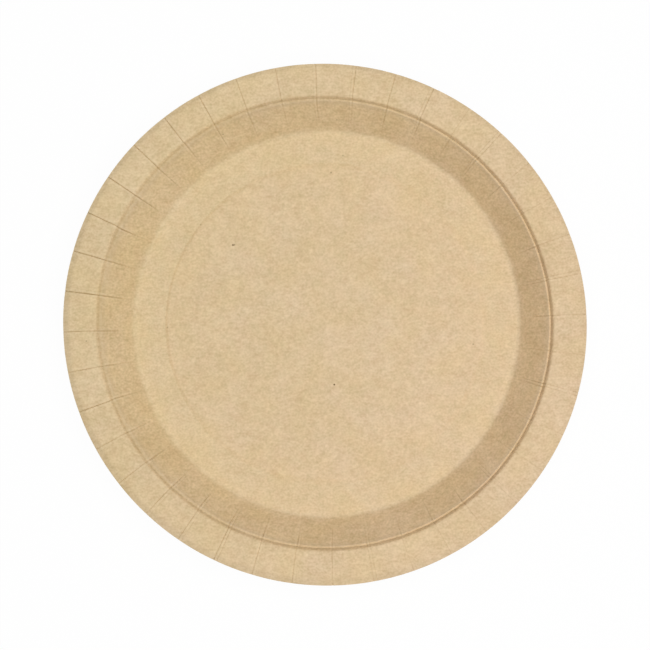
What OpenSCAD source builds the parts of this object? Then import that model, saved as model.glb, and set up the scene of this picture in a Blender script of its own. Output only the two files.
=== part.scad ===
// Pressed kraft paper plate: one round sheet of board drawn into a dish, with its rim gathered in pleats.
// Millimetres, +Z up, origin at the centre of the plane that the plate stands on.

/* [Plate] */
// Diameter over the rim
rim_d = 230; // [190:1:260]
// Height of the crest of the wall above the floor of the standing ring
wall_h = 16.5; // [12:0.5:24]
// Slope of the wall
wall_angle = 54; // [42:1:68]
// Inside radius of the bend from the base into the wall
foot_r = 3; // [1:0.25:6]

/* [Board] */
// Thickness of the board
board_t = 0.45; // [0.3:0.05:0.7]
// Inside radius of a sharp crease
crease_r = 0.2; // [0.1:0.05:0.4]

/* [Base] */
// Width of the flat ring that the plate stands on
ring_w = 12.5; // [6:0.5:20]
// Height of the centre panel above the standing ring
panel_rise = 0.45; // [0.3:0.05:1.2]
// Slope at the edge of the centre panel
panel_angle = 25; // [15:1:35]
// Inside radius of the bends at the edge of the centre panel
panel_r = 0.4; // [0.2:0.05:0.8]

/* [Shoulder groove] */
// Width of the ledge that falls away behind the crest
ledge_w = 0.2; // [0.1:0.05:1.5]
// Fall of the ledge
ledge_angle = 30; // [5:1:40]
// Length of the face that steps up from the ledge to the flange
step_l = 2.3; // [0.3:0.1:4]
// Slope of the step
step_angle = 70; // [35:1:75]
// Inside radius of the bend from the step into the flange
shoulder_r = 0.7; // [0.2:0.1:1.5]

/* [Rim] */
// Width of the straight part of the flange
flange_w = 11.1; // [6:0.1:18]
// Rise of the flange towards the lip
flange_angle = 5; // [0:0.5:12]
// Width of the turned-down lip
lip_w = 2.2; // [1:0.1:5]
// Fall of the lip
lip_angle = 24; // [15:1:60]
// Inside radius of the bend above the lip
lip_r = 1; // [0.5:0.1:2]

/* [Pleats] */
// Number of pleats round the rim
pleat_count = 40; // [24:1:60]
// Direction of the first pleat, anticlockwise from +X
first_pleat = 1.9; // [0:0.1:9]
// Width of a pleat's crease at the rim
pleat_w = 0.5; // [0.3:0.05:1]
// Depth of the crease in the upper face
pleat_depth = 0.2; // [0.1:0.01:0.25]
// Width of the folded rib under a pleat at the rim
rib_w = 1.1; // [0.6:0.05:2]
// Height of the folded rib below the lower face
rib_h = 0.15; // [0.08:0.01:0.3]

/* [Hidden] */
kraft = "#d9bd93";
$fn = 240;

// Steps that a bend is drawn in, as the angle of each
bend_facet = 15;
// How far a crease's cutter stands above the face, and a rib is rooted in it
overrun = 0.05;
// How far a rib stops short of the cut edge
rib_inset = 0.4;

// The section runs from the axis to the cut edge as straight lengths with a bend between each two.
// Slopes of the lengths: panel, panel edge, standing ring, wall, ledge, step, flange, lip
slopes = [0, -panel_angle, 0, wall_angle, -ledge_angle, step_angle, flange_angle, -lip_angle];
// Inside radii of the bends, where the convex ones above the wall leave room for the ribs below them
inside_radii = [
    panel_r, panel_r, foot_r, crease_r + rib_h, crease_r, shoulder_r + rib_h, lip_r + rib_h
];
bends = len(inside_radii);
foot_bend = 2;
crest_bend = 3;

function along(angle) = [cos(angle), sin(angle)];
function above(angle) = [-sin(angle), cos(angle)];
function total(list, i = 0) = i == len(list) ? 0 : list[i] + total(list, i + 1);
function reversed(list) = [for (i = [len(list) - 1:-1:0]) list[i]];

// A bend on the upper face: its turn, its radius there, and the way from its start to a given slope
function turn(i) = slopes[i + 1] - slopes[i];
function face_r(i) = turn(i) > 0 ? inside_radii[i] : inside_radii[i] + board_t;
function bend_to(i, slope) = sign(turn(i)) * face_r(i) * (above(slopes[i]) - above(slope));
function bend_all(i) = bend_to(i, slopes[i + 1]);

panel_edge_l = (panel_rise + bend_all(0).y + bend_all(1).y) / sin(panel_angle);
wall_l = (wall_h - bend_all(foot_bend).y - bend_to(crest_bend, 0).y) / sin(wall_angle);
outer_lengths = [panel_edge_l, ring_w, wall_l, ledge_w, step_l, flange_w, lip_w];
outer_run = total([for (i = [0:bends - 1]) bend_all(i).x + outer_lengths[i] * cos(slopes[i + 1])]);
lengths = concat([rim_d / 2 - outer_run], outer_lengths);

// Where a length starts and ends on the upper face
function start_of(i) = i == 0 ? [0, board_t + panel_rise] : end_of(i - 1) + bend_all(i - 1);
function end_of(i) = start_of(i) + lengths[i] * along(slopes[i]);

// Stations along the upper face, each a point and the slope there
function bend_steps(i) = ceil(abs(turn(i)) / bend_facet);
function bend_slope(i, step) = slopes[i] + turn(i) * step / bend_steps(i);
function bend_stations(first) = [
    for (i = [first:bends - 1], step = [0:bend_steps(i)])
        [end_of(i) + bend_to(i, bend_slope(i, step)), bend_slope(i, step)]
];
function edge_station(past) = [end_of(bends) + past * along(slopes[bends]), slopes[bends]];
function sunk(station, depth) = station[0] - depth * above(station[1]);

// Pleats start where the wall leaves its foot bend and run out over the lip.
function pleat_stations(past) = concat(
    [[start_of(crest_bend), wall_angle]],
    bend_stations(crest_bend),
    [edge_station(past)]
);

// A strip that is closed to a point at the foot of the wall and opens to full depth at the crest
module pleat_strip(near, far, past) {
    stations = pleat_stations(past);
    last = len(stations) - 1;
    far_side = [for (i = [1:last]) sunk(stations[i], far)];
    near_side = [for (i = [0:last]) sunk(stations[i], near)];
    polygon(concat(near_side, reversed(far_side)));
}

module section() {
    stations = concat([[start_of(0), slopes[0]]], bend_stations(0), [edge_station(0)]);
    upper_face = [for (s = stations) sunk(s, 0)];
    lower_face = [for (s = stations) sunk(s, board_t)];
    polygon(concat(upper_face, reversed(lower_face)));
}

// Turns a strip through the angle that a width spans at the rim, once for each pleat
module at_pleats(width) {
    span = 360 * width / (PI * rim_d);
    for (i = [0:pleat_count - 1])
        rotate_extrude(angle = span, start = first_pleat + 360 * i / pleat_count - span / 2)
            children();
}

module plate() {
    color(kraft)
        difference() {
            union() {
                rotate_extrude() section();
                at_pleats(rib_w) pleat_strip(board_t - overrun, board_t + rib_h, -rib_inset);
            }
            at_pleats(pleat_w) pleat_strip(-overrun, pleat_depth, overrun);
        }
}

plate();
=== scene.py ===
import math
from types import SimpleNamespace

import bpy
import numpy as np
from mathutils import Matrix, Vector


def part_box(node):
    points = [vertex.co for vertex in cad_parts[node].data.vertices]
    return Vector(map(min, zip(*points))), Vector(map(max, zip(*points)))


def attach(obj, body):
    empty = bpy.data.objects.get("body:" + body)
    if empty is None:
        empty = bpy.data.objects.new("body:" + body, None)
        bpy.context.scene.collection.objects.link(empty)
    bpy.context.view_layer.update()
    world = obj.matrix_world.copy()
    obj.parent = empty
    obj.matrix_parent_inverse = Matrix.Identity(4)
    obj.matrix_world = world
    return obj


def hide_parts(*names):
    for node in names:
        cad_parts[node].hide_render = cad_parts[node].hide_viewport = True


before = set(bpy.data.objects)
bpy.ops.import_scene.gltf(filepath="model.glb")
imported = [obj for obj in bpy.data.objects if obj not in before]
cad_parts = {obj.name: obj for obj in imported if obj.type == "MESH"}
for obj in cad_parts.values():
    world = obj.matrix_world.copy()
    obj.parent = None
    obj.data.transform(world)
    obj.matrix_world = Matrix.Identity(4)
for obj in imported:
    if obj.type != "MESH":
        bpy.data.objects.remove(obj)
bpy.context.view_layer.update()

MM = 0.001
SEED = 7

# Straight faces of the board's upper side, from the centre outwards. Each has a slope in degrees, a span
# from corner to corner and a radius that rounds its outer corner, both in millimetres, and the rows of
# points along it and round that corner.
FACES = (
    (0, 0, 0.85, 0, 2),  # panel, which lies inside the first row of points and needs no span
    (-32, 1.25, 0.4, 1, 2),  # panel edge
    (0, 13.9, 3, 2, 6),  # ring that the plate stands on
    (54, 21.15, 0.25, 7, 6),  # wall
    (-30, 0.8, 0.1, 1, 3),  # ledge down from the wall's crest into the groove
    (70, 3.4, 1.3, 3, 7),  # step up from the groove to the shoulder
    (5, 12.29, 3.2, 6, 5),  # flange
    (-21, 2.56, 0, 3, 0),  # lip, which ends in the cut edge
)
PANEL, PANEL_EDGE, RING, WALL, LEDGE, STEP, FLANGE, LIP = range(len(FACES))
DEGREES, SPANS_MM, RADII_MM, FACE_ROWS, BEND_ROWS = map(np.array, zip(*FACES))
SLOPES = np.radians(DEGREES)
TURNS = np.diff(SLOPES)
SPANS = SPANS_MM * MM
BEND_RADII = RADII_MM[:LIP] * MM
TIGHTEST_INSIDE_R = 0.2 * MM
BOARD_T = 0.45 * MM
RIM_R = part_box("plate")[1].x
# Edges that turn by more than this are shaded sharp
SHARP_EDGE = math.radians(40)

# Pleats: where the first lies, and where the columns of points lie beside each crease
PLEATS = 40
PITCH = 2 * math.pi / PLEATS
FIRST_PLEAT = math.radians(1.9)
BEFORE_CREASE = np.radians([-3.1, -1.9, -1.1, -0.76, -0.45, -0.24, -0.14, -0.07])
AFTER_CREASE = np.radians([0, 0.07, 0.14, 0.24, 0.45, 0.66, 0.76, 0.86, 1.1, 1.9, 3.1])
COLUMN_PLACES = np.concatenate([BEFORE_CREASE, AFTER_CREASE, [PITCH / 2]])
COLUMNS = PLEATS * len(COLUMN_PLACES)

# Crease in the upper side, its paler edges, the second crease beside it, and the fold below
CREASE_DEPTH = 0.34 * MM
CREASE_HALF = math.radians(0.14)
PALE_EDGE = math.radians(0.4)
PALE_EDGE_HALF = math.radians(0.2)
SECOND_CREASE = math.radians(0.76)
SECOND_CREASE_HALF = math.radians(0.1)
FOLD_DEPTH = 0.3 * MM
FOLD_HALF = math.radians(0.45)
# The gores between the creases are crowned, and the creases drift sideways towards the wall's crest
GORE_CROWN = 0.05 * MM
CREASE_DRIFT = math.radians(0.12)
DRIFT_HALF = PITCH / 3
# Shares of the wall between which the creases start
CREASE_START_SHARES = (0.1, 0.7)

# The creases gape most on the left of the plate, as it is seen from above, and each in its own way, and the
# painted shade in them is darkest where they gape most
GAPE_TOWARDS = math.radians(160)
GAPE_MEAN_SHARE = 0.5
GAPE_SWING_SHARE = 0.5
OWN_GAPE_SHARES = (0.75, 1.25)
WAVERING_SHARES = (0.6, 1.3)
# A second crease gapes by one of these shares of the first, and less where the first gapes wide
SECOND_GAPE_SHARES = (0, 0.4, 0.8, 1.1)
# Off the flange the creases gape more evenly, and on the wall they are blunter
EVENING_SHARE = 0.55
BLUNTING_SHARE = 0.5

# The crest of the wall and the groove behind it are painted with shade too, like the creases
CREST_SHADE_SHARE = 0.28
GROOVE_SHADE_SHARE = 0.34
BEND_LINE_HALF = 0.6 * MM
# The painted shade along the crest is stronger at the top and bottom of the plate than at its sides
CREST_SHADE_TOP_BOTTOM_SHARE = 0.75
# The crest gets a painted highlight on the side where the groove is deep and the light falls, and the edges
# of a crease are paler most where they cross it
CREST_HIGHLIGHT_SHARE = 0.5
CREST_PALE_EDGE_SHARE = 2
# The wall is painted with shade from just above the foot, and the rim by half as much
FOOT_SHARE = 0.2
RIM_SHADE_SHARE = 0.5

# The groove fades towards the left, where it was pressed in less and the shoulder is eased open
GROOVE_FADES_TOWARDS = math.radians(168)
GROOVE_FILL = 1.4 * MM
SHOULDER_EASE = 0.6 * MM
# The centre panel's edge is sharp on the left, and runs out more softly on the far side
PANEL_SHARP_TOWARDS = math.radians(165)
PANEL_EASE = 1.8 * MM
# Spring-back leaves the rim oval, and the blank lay off centre, so the lip is wider on one side
OVAL_SHOULDER = 0.71 * MM
OVAL_EDGE = 0.57 * MM
OVAL_TOWARDS = math.radians(-33)
BLANK_SHIFT = Vector((-0.18, -0.5)) * MM


def linear(hex_colour):
    """Turns an sRGB hex colour into the linear colour that a shader takes."""
    parts = [int(hex_colour[i : i + 2], 16) / 255 for i in (1, 3, 5)]
    return [c / 12.92 if c <= 0.04045 else ((c + 0.055) / 1.055) ** 2.4 for c in parts] + [1]


def along(slope):
    """Way along a face of this slope, as radius and height."""
    return np.stack([np.cos(slope), np.sin(slope)], -1)


def out_of(slope):
    """Way out of the upper side of a face of this slope."""
    return np.stack([-np.sin(slope), np.cos(slope)], -1)


def section_corners():
    """Outer corner of each face of the upper side before it is rounded, and at last the cut edge."""
    corners = np.cumsum(SPANS[:, None] * along(SLOPES), 0)
    return corners + [RIM_R - corners[LIP, 0], BOARD_T - corners[RING, 1]]


def rounded(corners, radii):
    """Stations along a side whose corners are rounded: radius, height and slope of each row of points."""
    reach = (radii * np.tan(np.abs(TURNS) / 2))[:, None]
    bend_starts = corners[:LIP] - reach * along(SLOPES[:LIP])
    bend_ends = corners[:LIP] + reach * along(SLOPES[1:])
    face_ends = np.append(bend_starts, corners[LIP:], 0)
    stations = [(*bend_starts[PANEL], SLOPES[PANEL])]
    for i in range(LIP):
        for share in np.linspace(0, 1, BEND_ROWS[i] + 1)[1:]:
            slope = SLOPES[i] + TURNS[i] * share
            way = np.sign(TURNS[i]) * radii[i] * (out_of(SLOPES[i]) - out_of(slope))
            stations.append((*(bend_starts[i] + way), slope))
        for share in np.linspace(0, 1, FACE_ROWS[i + 1] + 1)[1:]:
            place = bend_ends[i] + share * (face_ends[i + 1] - bend_ends[i])
            stations.append((*place, SLOPES[i + 1]))
    return np.array(stations)


def board_sides():
    """Stations of the upper and the lower side of the board."""
    corners = section_corners()
    out = out_of(SLOPES)
    before, after = out[:LIP], out[1:]
    mitres = (before + after) / (1 + np.sum(before * after, 1))[:, None]
    lower_corners = corners - BOARD_T * np.append(mitres, out[LIP:], 0)
    lower_radii = np.maximum(BEND_RADII + np.sign(TURNS) * BOARD_T, TIGHTEST_INSIDE_R)
    return rounded(corners, BEND_RADII), rounded(lower_corners, lower_radii)


def draw_dish(stations):
    """Draws the upper side ring by ring from the centre panel, and gives it the board's thickness below."""
    bpy.ops.object.select_all(action="DESELECT")
    radius, height = stations[0][:2]
    centre = (0, 0, height)
    bpy.ops.mesh.primitive_circle_add(vertices=COLUMNS, radius=radius, fill_type="NGON", location=centre)
    plate = bpy.context.object
    plate.name = plate.data.name = "pressed_plate"
    bpy.ops.object.transform_apply(location=True, rotation=True, scale=True)
    bpy.ops.object.mode_set(mode="EDIT")
    bpy.ops.mesh.select_mode(type="EDGE")
    bpy.ops.mesh.select_all(action="SELECT")
    bpy.ops.mesh.region_to_loop()
    for here, there in zip(stations, stations[1:]):
        grow = there[0] / here[0]
        bpy.ops.mesh.extrude_edges_move(TRANSFORM_OT_translate={"value": (0, 0, there[1] - here[1])})
        bpy.ops.transform.resize(value=(grow, grow, 1), center_override=(0, 0, there[1]))
    bpy.ops.mesh.select_all(action="SELECT")
    bpy.ops.mesh.normals_make_consistent(inside=False)
    bpy.ops.object.mode_set(mode="OBJECT")
    board = plate.modifiers.new("board", "SOLIDIFY")
    board.thickness = BOARD_T
    board.offset = -1
    bpy.ops.object.modifier_apply(modifier=board.name)
    return plate


def peak(distance, half_width):
    """1 on a line, falling straight to 0 at its half width."""
    return np.clip(1 - np.abs(distance) / half_width, 0, 1)


def ramp(value, start, end):
    """0 up to start, rising straight to 1 at end."""
    return np.clip((value - start) / (end - start), 0, 1)


def on_side(direction, towards):
    """1 on that side of the plate, falling smoothly to 0 on the far side."""
    return ((1 + np.cos(direction - towards)) / 2) ** 2


# What on_side comes to on average round the plate
MEAN_ON_SIDE = 3 / 8


def find_points(mesh, upper):
    """Where each point lies: its side, row and pleat, and how far along each stretch of the section."""
    drawn = np.empty(len(mesh.vertices) * 3)
    mesh.vertices.foreach_get("co", drawn)
    x, y, _ = drawn.reshape(-1, 3).T
    index = np.arange(len(x))
    column = np.rint(np.arctan2(y, x) / (2 * math.pi) * COLUMNS).astype(int) % COLUMNS
    at = SimpleNamespace()
    at.below = index >= len(upper) * COLUMNS
    at.row = index // COLUMNS % len(upper)
    at.pleat, place = np.divmod(column, len(COLUMN_PLACES))
    at.beside = COLUMN_PLACES[place]
    at.pleat_direction = FIRST_PLEAT + at.pleat * PITCH
    at.direction = at.pleat_direction + at.beside

    row_r = upper[at.row, 0]
    corner_r = section_corners()[:, 0]
    at.off_panel = ramp(row_r, corner_r[PANEL], corner_r[PANEL_EDGE])
    at.up_wall = ramp(row_r, corner_r[RING], corner_r[WALL])
    at.on_wall = ramp(at.up_wall, 0, FOOT_SHARE)
    at.off_wall = ramp(row_r, corner_r[WALL], corner_r[STEP])
    at.down_ledge = ramp(row_r, corner_r[WALL], corner_r[LEDGE])
    at.up_step = ramp(row_r, corner_r[LEDGE], corner_r[STEP])
    at.across_flange = ramp(row_r, corner_r[STEP], corner_r[FLANGE])
    at.across_rim = ramp(row_r, corner_r[STEP], corner_r[LIP])
    at.over_lip = ramp(row_r, corner_r[FLANGE], corner_r[LIP])
    at.crest_line = peak(row_r - corner_r[WALL], BEND_LINE_HALF)
    at.groove_line = peak(row_r - corner_r[LEDGE], BEND_LINE_HALF)
    at.groove_faded = on_side(at.direction, GROOVE_FADES_TOWARDS)
    return at


def crease_gape(at, rows, rng):
    """How far each point's crease gapes: by its direction, by its pleat, and wavering along it."""
    swing = GAPE_SWING_SHARE * (1 - EVENING_SHARE * (1 - at.off_wall + at.over_lip))
    gape = GAPE_MEAN_SHARE + swing * (on_side(at.pleat_direction, GAPE_TOWARDS) - MEAN_ON_SIDE)
    own = rng.uniform(*OWN_GAPE_SHARES, PLEATS)
    wavering = rng.uniform(*WAVERING_SHARES, (PLEATS, rows))
    wavering = (wavering + np.roll(wavering, 1, 1)) / 2
    return gape * own[at.pleat] * wavering[at.pleat, at.row] * ramp(at.up_wall, *CREASE_START_SHARES)


def crease_lines(at, gape, rng):
    """The crease of each pleat and the second one beside it, by how far they gape."""
    half = CREASE_HALF * (1 + BLUNTING_SHARE * (1 - at.off_wall))
    tightness = 1 - on_side(at.pleat_direction, GAPE_TOWARDS)
    second = rng.choice(SECOND_GAPE_SHARES, PLEATS)[at.pleat] * tightness
    return gape * (peak(at.beside, half) + second * peak(at.beside - SECOND_CREASE, SECOND_CREASE_HALF))


def note_finish(mesh, at, gape, crease):
    """Notes for the material at each point the painted shade of creases, crest, groove, wall and rim, the
    paler crease edges, the crest's painted highlight and how far the board is ironed.
    """
    crest_shade_top_bottom = 1 + CREST_SHADE_TOP_BOTTOM_SHARE * np.sin(at.direction) ** 2
    # Painted shade along the wall's crest and in the groove behind it
    bend_shade = CREST_SHADE_SHARE * crest_shade_top_bottom * at.crest_line + GROOVE_SHADE_SHARE * at.groove_line
    # Paler edges beside each crease, most where they cross the crest
    paled = gape * peak(np.abs(at.beside) - PALE_EDGE, PALE_EDGE_HALF)
    paled = paled * (1 + CREST_PALE_EDGE_SHARE * at.crest_line)
    finishes = {
        # Painted shade in the creases, and along the crest and groove
        "crease": crease + bend_shade,
        # Paler crease edges, and a painted highlight on the crest where the groove is deep
        "pale_edge": paled + CREST_HIGHLIGHT_SHARE * at.crest_line * (1 - at.groove_faded),
        # Painted shade on the wall, and by half as much on the rim
        "wall_shade": (at.on_wall - (1 - RIM_SHADE_SHARE) * at.off_wall) * (1 - at.crest_line),
        "ironed": at.off_panel - at.on_wall,
    }
    for name, values in finishes.items():
        mesh.attributes.new(name, "FLOAT", "POINT").data.foreach_set("value", values)


def strayed(at, angle):
    """How far outwards and upwards the press and spring-back leave each point from a true round plate."""
    oval = OVAL_SHOULDER * at.up_wall + (OVAL_EDGE - OVAL_SHOULDER) * at.across_rim
    oval = oval * np.cos(2 * (angle - OVAL_TOWARDS))
    shift = at.over_lip * (BLANK_SHIFT.x * np.cos(angle) + BLANK_SHIFT.y * np.sin(angle))
    ease = SHOULDER_EASE * at.groove_faded * (at.down_ledge - at.across_flange)
    fill = GROOVE_FILL * at.groove_faded * (at.down_ledge - at.up_step)
    run_out = PANEL_EASE * (1 - on_side(angle, PANEL_SHARP_TOWARDS)) * (1 - at.off_panel)
    return oval + ease + shift - run_out, fill + shift * math.tan(SLOPES[LIP])


def press(plate, upper, lower):
    """Moves each point to where the press leaves it, and notes its finish and its painted shade and
    highlight.
    """
    rng = np.random.default_rng(SEED)
    at = find_points(plate.data, upper)
    gape = crease_gape(at, len(upper), rng)
    crease = crease_lines(at, gape, rng)
    drift = CREASE_DRIFT * rng.normal(0, 1, PLEATS)[at.pleat] * (at.off_wall - at.up_wall)
    angle = at.direction + drift * peak(at.beside, DRIFT_HALF)

    # Creases sink into the upper side and stand out as folds below, and the gores between them are crowned
    crown = GORE_CROWN * at.up_wall * (1 - np.cos(at.beside / PITCH * 2 * math.pi)) / 2
    fold = FOLD_DEPTH * gape * peak(at.beside, FOLD_HALF)
    depth = np.where(at.below, fold, CREASE_DEPTH * crease) - crown
    radius, height, slope = np.where(at.below[:, None], lower[at.row], upper[at.row]).T
    outwards, upwards = strayed(at, angle)
    radius = radius + depth * np.sin(slope) + outwards
    height = height - depth * np.cos(slope) + upwards
    places = np.stack([radius * np.cos(angle), radius * np.sin(angle), height], 1)
    plate.data.vertices.foreach_set("co", places.ravel())
    note_finish(plate.data, at, gape, crease)
    plate.data.update()


def divide_panel():
    """Divides the two round faces of the plate's panel into wedges about the centre."""
    bpy.ops.object.mode_set(mode="EDIT")
    bpy.ops.mesh.select_mode(type="FACE")
    bpy.ops.mesh.select_face_by_sides(number=4, type="GREATER", extend=False)
    bpy.ops.mesh.poke()
    bpy.ops.object.mode_set(mode="OBJECT")


def add_node(tree, kind, settings=None, links=None):
    """Adds a node, with its settings by name and its inputs as values or as other nodes' outputs."""
    node = tree.nodes.new(kind)
    for name, value in (settings or {}).items():
        setattr(node, name, value)
    for socket, value in (links or {}).items():
        if isinstance(value, bpy.types.NodeSocket):
            tree.links.new(value, node.inputs[socket])
        else:
            node.inputs[socket].default_value = value
    return node


# Sockets of a Mix node for colours, by number because their names repeat, and its settings
MIX_SHARE, MIX_FROM, MIX_TO, MIX_RESULT = 0, 6, 7, 2
MIX = {"data_type": "RGBA"}
MULTIPLY = {"data_type": "RGBA", "blend_type": "MULTIPLY"}

# Grain of the board: size of its cells in x and y, and how far they stir the tone. Single fibres are too
# fine to show, so the finest cells are nearly a millimetre wide.
GRAIN = (
    (0.92 * MM, 0.82 * MM, 0.41),  # fines
    (2.2 * MM, 1.2 * MM, 0.27),  # fibres
    (5 * MM, 4 * MM, 0.2),  # flocs
    (20 * MM, 18 * MM, 0.14),  # clouds
)
MEAN_TONE = 0.5
# The press draws the grain out up the wall, so that it changes more slowly with height
DRAWN_SHARE = 0.42
# How much more the grain stands out on the wall and rim, where they are painted with shade
WALL_SHADE_GRAIN_SHARE = 0.3
# The grain's tooth, which roughens the surface
TOOTH_DEPTH = 0.02 * MM
TOOTH_SHARE = 0.5
# Dark and pale pulp: size of their patches, and the two hues that these turn between
DARK_PULP = (4 * MM, "#bea77c", "#c2a57c")
PALE_PULP = (16 * MM, "#f6dcb3", "#f7debd")
# Noise seldom leaves this range
NOISE_LOW, NOISE_HIGH = 0.3, 0.7
# The colour is a touch greener towards one side of the plate and redder towards the other
REDDER_WAY = (math.cos(math.radians(-25)), math.sin(math.radians(-25)), 0)
GREENER_TINT, REDDER_TINT = "#fdfffb", "#fffdff"
# Painted shade deepens the colour of the wall and rim a touch, and ironing cools that of the ring
WALL_SHADE_AND_RING_TINTS = {"wall_shade": "#fdfcf8", "ironed": "#fdffff"}
# Painted shade darkens a crease and the wall's crest and groove, and a crease's edges are paler, with a
# painted highlight on the crest: the most of each, and its colour
SHADE_AND_PALE_TINTS = {"crease": (0.55, "#8f7349"), "pale_edge": (0.25, "#f3dfbd")}
# Flecks of bark in the face of the board: place in x and y and radius, in millimetres, and darkness
BARK = "#503a06"
FLECK_CORE_SHARE = 1 / 3
FLECKS = (
    ((3.63, -27.1), 0.5, 1),
    ((-41.8, 35.35), 0.5, 1),
    ((-41.15, 35.45), 0.45, 0.6),
    ((2.2, 67.7), 0.55, 0.45),
    ((65.6, -9.1), 0.5, 0.4),
    ((-71.1, -1.5), 0.5, 0.35),
    ((-56.3, 44.5), 0.5, 0.35),
    ((7.5, 75.3), 0.5, 0.35),
    ((5, 90.9), 0.6, 0.35),
    ((-45.2, 83.8), 0.6, 0.5),
    ((-105.1, -7.9), 0.5, 0.4),
)


def pulp_tone(tree, place, wall_shade):
    """Grain of the pulp, about 0 where it is dark and 1 where it is pale."""
    tone = -sum(share for _, _, share in GRAIN) / 2
    for width, height, share in GRAIN:
        cells = {"Vector": place, "Scale": (1 / width, 1 / height, DRAWN_SHARE / height)}
        cells = add_node(tree, "ShaderNodeMapping", None, cells).outputs[0]
        noise = {"Vector": cells, "Scale": 1, "Detail": 0}
        noise = add_node(tree, "ShaderNodeTexNoise", None, noise).outputs[0]
        stirred = {0: noise, 1: share, 2: tone}
        tone = add_node(tree, "ShaderNodeMath", {"operation": "MULTIPLY_ADD"}, stirred).outputs[0]
    # The grain stands out more where the wall and rim are painted with shade
    contrast = {0: wall_shade, 1: WALL_SHADE_GRAIN_SHARE, 2: 1}
    contrast = add_node(tree, "ShaderNodeMath", {"operation": "MULTIPLY_ADD"}, contrast).outputs[0]
    tone = {0: tone, 1: contrast, 2: MEAN_TONE}
    return add_node(tree, "ShaderNodeMath", {"operation": "MULTIPLY_ADD"}, tone).outputs[0]


def pulp_colour(tree, place, tone):
    """Colour of the unpressed sheet: dark and pale pulp in patches of two hues each, redder one way."""
    hues = []
    for patch, one, other in (DARK_PULP, PALE_PULP):
        noise = {"Vector": place, "Scale": 1 / patch, "Detail": 1}
        noise = add_node(tree, "ShaderNodeTexNoise", None, noise).outputs[0]
        share = {"Value": noise, "From Min": NOISE_LOW, "From Max": NOISE_HIGH}
        share = add_node(tree, "ShaderNodeMapRange", None, share).outputs[0]
        hue = {MIX_SHARE: share, MIX_FROM: linear(one), MIX_TO: linear(other)}
        hues.append(add_node(tree, "ShaderNodeMix", MIX, hue).outputs[MIX_RESULT])
    colour = {MIX_SHARE: tone, MIX_FROM: hues[0], MIX_TO: hues[1]}
    colour = add_node(tree, "ShaderNodeMix", MIX, colour).outputs[MIX_RESULT]

    across = {0: place, 1: REDDER_WAY}
    across = add_node(tree, "ShaderNodeVectorMath", {"operation": "DOT_PRODUCT"}, across).outputs["Value"]
    share = {"Value": across, "From Min": -RIM_R, "From Max": RIM_R}
    share = add_node(tree, "ShaderNodeMapRange", None, share).outputs[0]
    tint = {MIX_SHARE: share, MIX_FROM: linear(GREENER_TINT), MIX_TO: linear(REDDER_TINT)}
    tint = add_node(tree, "ShaderNodeMix", MIX, tint).outputs[MIX_RESULT]
    colour = {MIX_SHARE: 1, MIX_FROM: colour, MIX_TO: tint}
    return add_node(tree, "ShaderNodeMix", MULTIPLY, colour).outputs[MIX_RESULT]


def colour_with_painted_light(tree, noted, colour):
    """Colour with painted shade and highlight, paler crease edges and the ironed ring, by what is noted at
    each point of the board.
    """
    # Painted shade on the wall and rim, and the ring ironed cooler
    for name, tint in WALL_SHADE_AND_RING_TINTS.items():
        colour = {MIX_SHARE: noted[name], MIX_FROM: colour, MIX_TO: linear(tint)}
        colour = add_node(tree, "ShaderNodeMix", MULTIPLY, colour).outputs[MIX_RESULT]
    # Painted shade in creases, crest and groove, then paler crease edges and the crest's painted highlight
    for name, (most, tint) in SHADE_AND_PALE_TINTS.items():
        share = {"Value": noted[name], "To Max": most}
        share = add_node(tree, "ShaderNodeMapRange", None, share).outputs[0]
        colour = {MIX_SHARE: share, MIX_FROM: colour, MIX_TO: linear(tint)}
        colour = add_node(tree, "ShaderNodeMix", MIX, colour).outputs[MIX_RESULT]
    return colour


def flecked_colour(tree, place, colour, upper):
    """Colour with its flecks of bark, each a small round spot on the upper side."""
    for (x, y), radius, darkness in FLECKS:
        height = np.interp(math.hypot(x, y) * MM, upper[:, 0], upper[:, 1])
        away = {0: place, 1: (x * MM, y * MM, height)}
        away = add_node(tree, "ShaderNodeVectorMath", {"operation": "DISTANCE"}, away).outputs["Value"]
        share = {"Value": away, "From Min": FLECK_CORE_SHARE * radius * MM, "From Max": radius * MM}
        share |= {"To Min": darkness, "To Max": 0}
        share = add_node(tree, "ShaderNodeMapRange", None, share).outputs[0]
        colour = {MIX_SHARE: share, MIX_FROM: colour, MIX_TO: linear(BARK)}
        colour = add_node(tree, "ShaderNodeMix", MIX, colour).outputs[MIX_RESULT]
    return colour


def kraft_board(upper):
    """Uncoated kraft board: matte tan pulp with short fibres, paler, pinker clouds and flecks of bark, and
    painted shade and highlight where it is pressed.
    """
    material = bpy.data.materials.new("uncoated_kraft_board")
    material.use_nodes = True
    tree = material.node_tree
    shader = tree.nodes["Principled BSDF"]
    shader.inputs["Roughness"].default_value = 0.85
    shader.inputs["Specular IOR Level"].default_value = 0.2
    place = add_node(tree, "ShaderNodeTexCoord").outputs["Object"]
    noted = {}
    for name in (*WALL_SHADE_AND_RING_TINTS, *SHADE_AND_PALE_TINTS):
        noted[name] = add_node(tree, "ShaderNodeAttribute", {"attribute_name": name}).outputs["Fac"]
    tone = pulp_tone(tree, place, noted["wall_shade"])
    colour = colour_with_painted_light(tree, noted, pulp_colour(tree, place, tone))
    tree.links.new(flecked_colour(tree, place, colour, upper), shader.inputs["Base Color"])
    tooth = {"Height": tone, "Distance": TOOTH_DEPTH, "Strength": TOOTH_SHARE}
    tree.links.new(add_node(tree, "ShaderNodeBump", None, tooth).outputs[0], shader.inputs["Normal"])
    return material


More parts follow.
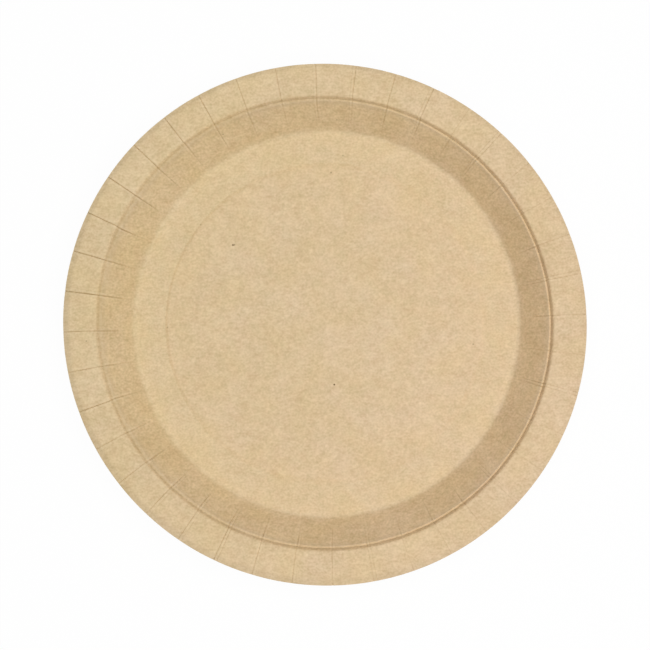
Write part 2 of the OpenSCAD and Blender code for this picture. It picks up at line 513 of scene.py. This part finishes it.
def seen_directly(tree):
    """1 for what the camera sees, straight or by reflection or through something clear."""
    path = add_node(tree, "ShaderNodeLightPath").outputs
    seen = path["Is Camera Ray"]
    for kind in ("Is Glossy Ray", "Is Transmission Ray"):
        either = {0: seen, 1: path[kind]}
        seen = add_node(tree, "ShaderNodeMath", {"operation": "MAXIMUM"}, either).outputs[0]
    return seen


# Floor: its side in metres, its gap below the plate, its paint, and the share of plain white that it shows
FLOOR_SIZE = 8
FLOOR_GAP = 0.05 * MM
FLOOR_PAINT = "#f7f7f7"
FLOOR_WHITE_SHARE = 0.97


def pale_floor():
    """A white sweep that shows white to the camera and still takes the plate's shadow."""
    bpy.ops.object.select_all(action="DESELECT")
    bpy.ops.mesh.primitive_plane_add(size=FLOOR_SIZE, location=(0, 0, -FLOOR_GAP))
    floor = bpy.context.object
    floor.name = "floor"
    material = bpy.data.materials.new("white_sweep")
    material.use_nodes = True
    tree = material.node_tree
    tree.nodes.remove(tree.nodes["Principled BSDF"])
    share = {0: seen_directly(tree), 1: FLOOR_WHITE_SHARE}
    share = add_node(tree, "ShaderNodeMath", {"operation": "MULTIPLY"}, share).outputs[0]
    lit = add_node(tree, "ShaderNodeBsdfDiffuse", None, {"Color": linear(FLOOR_PAINT)}).outputs[0]
    white = add_node(tree, "ShaderNodeEmission", None, {"Strength": 1}).outputs[0]
    both = add_node(tree, "ShaderNodeMixShader", None, {0: share, 1: lit, 2: white}).outputs[0]
    tree.links.new(both, tree.nodes["Material Output"].inputs["Surface"])
    floor.data.materials.append(material)


# Light: even from all round, and one large soft box overhead, a little to the right, in watts and metres
AMBIENT = 0.22
KEY_WATTS = 6.05
KEY_DISTANCE = 0.85
KEY_SIZE = 0.6
KEY_ELEVATION = math.radians(81)
KEY_AZIMUTH = math.radians(-10)


def studio_light():
    """A white room, and the soft box."""
    world = bpy.data.worlds.new("studio")
    bpy.context.scene.world = world
    world.use_nodes = True
    tree = world.node_tree
    white = linear("#ffffff")
    room = add_node(tree, "ShaderNodeBackground", None, {"Color": white, "Strength": AMBIENT}).outputs[0]
    backdrop = add_node(tree, "ShaderNodeBackground", None, {"Color": white, "Strength": 1}).outputs[0]
    both = {0: seen_directly(tree), 1: room, 2: backdrop}
    both = add_node(tree, "ShaderNodeMixShader", None, both).outputs[0]
    tree.links.new(both, tree.nodes["World Output"].inputs["Surface"])
    lamp = bpy.data.lights.new("soft_box", "AREA")
    lamp.shape = "SQUARE"
    lamp.size = KEY_SIZE
    lamp.energy = KEY_WATTS
    box = bpy.data.objects.new("soft_box", lamp)
    flat = math.cos(KEY_ELEVATION)
    rise = math.sin(KEY_ELEVATION)
    towards = Vector((flat * math.cos(KEY_AZIMUTH), flat * math.sin(KEY_AZIMUTH), rise))
    box.location = KEY_DISTANCE * towards
    box.rotation_euler = towards.to_track_quat("Z", "Y").to_euler()
    box.visible_camera = False
    bpy.context.scene.collection.objects.link(box)


# The photograph's frame and the plate's rim in it, in pixels
FRAME_PX = 650
RIM_RADIUS_PX = 261.5
# How far off the camera stands, in metres, and the width of its sensor
CAMERA_DISTANCE = 1.2
SENSOR_MM = 36
# The camera stands a little to the right of the plate's axis and below it, and aims a little off the axis
LEAN = Vector((math.radians(2.55), math.radians(-1.05)))
AIM = Vector((0.345, -0.84, 0)) * MM


def overhead_camera(rim_height):
    """Looks down on the plate, with +Y to the top of the picture."""
    camera = bpy.data.cameras.new("overhead")
    camera.sensor_width = SENSOR_MM
    camera.lens = SENSOR_MM * CAMERA_DISTANCE / (FRAME_PX * RIM_R / RIM_RADIUS_PX)
    stand = bpy.data.objects.new("overhead", camera)
    bpy.context.scene.collection.objects.link(stand)
    back = Vector((math.tan(LEAN.x), math.tan(LEAN.y), 1)).normalized()
    right = Vector((0, 1, 0)).cross(back).normalized()
    up = back.cross(right)
    turn = Matrix((right, up, back)).transposed().to_4x4()
    place = Vector((0, 0, rim_height)) + AIM + back * CAMERA_DISTANCE
    stand.matrix_world = Matrix.Translation(place) @ turn
    bpy.context.scene.camera = stand


upper_side, lower_side = board_sides()
plate = draw_dish(upper_side)
press(plate, upper_side, lower_side)
divide_panel()
bpy.ops.object.shade_smooth_by_angle(angle=SHARP_EDGE)
plate.data.materials.append(kraft_board(upper_side))
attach(plate, "root")
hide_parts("plate")

pale_floor()
studio_light()
overhead_camera(upper_side[-1][1])
bpy.context.scene.view_settings.view_transform = "Standard"
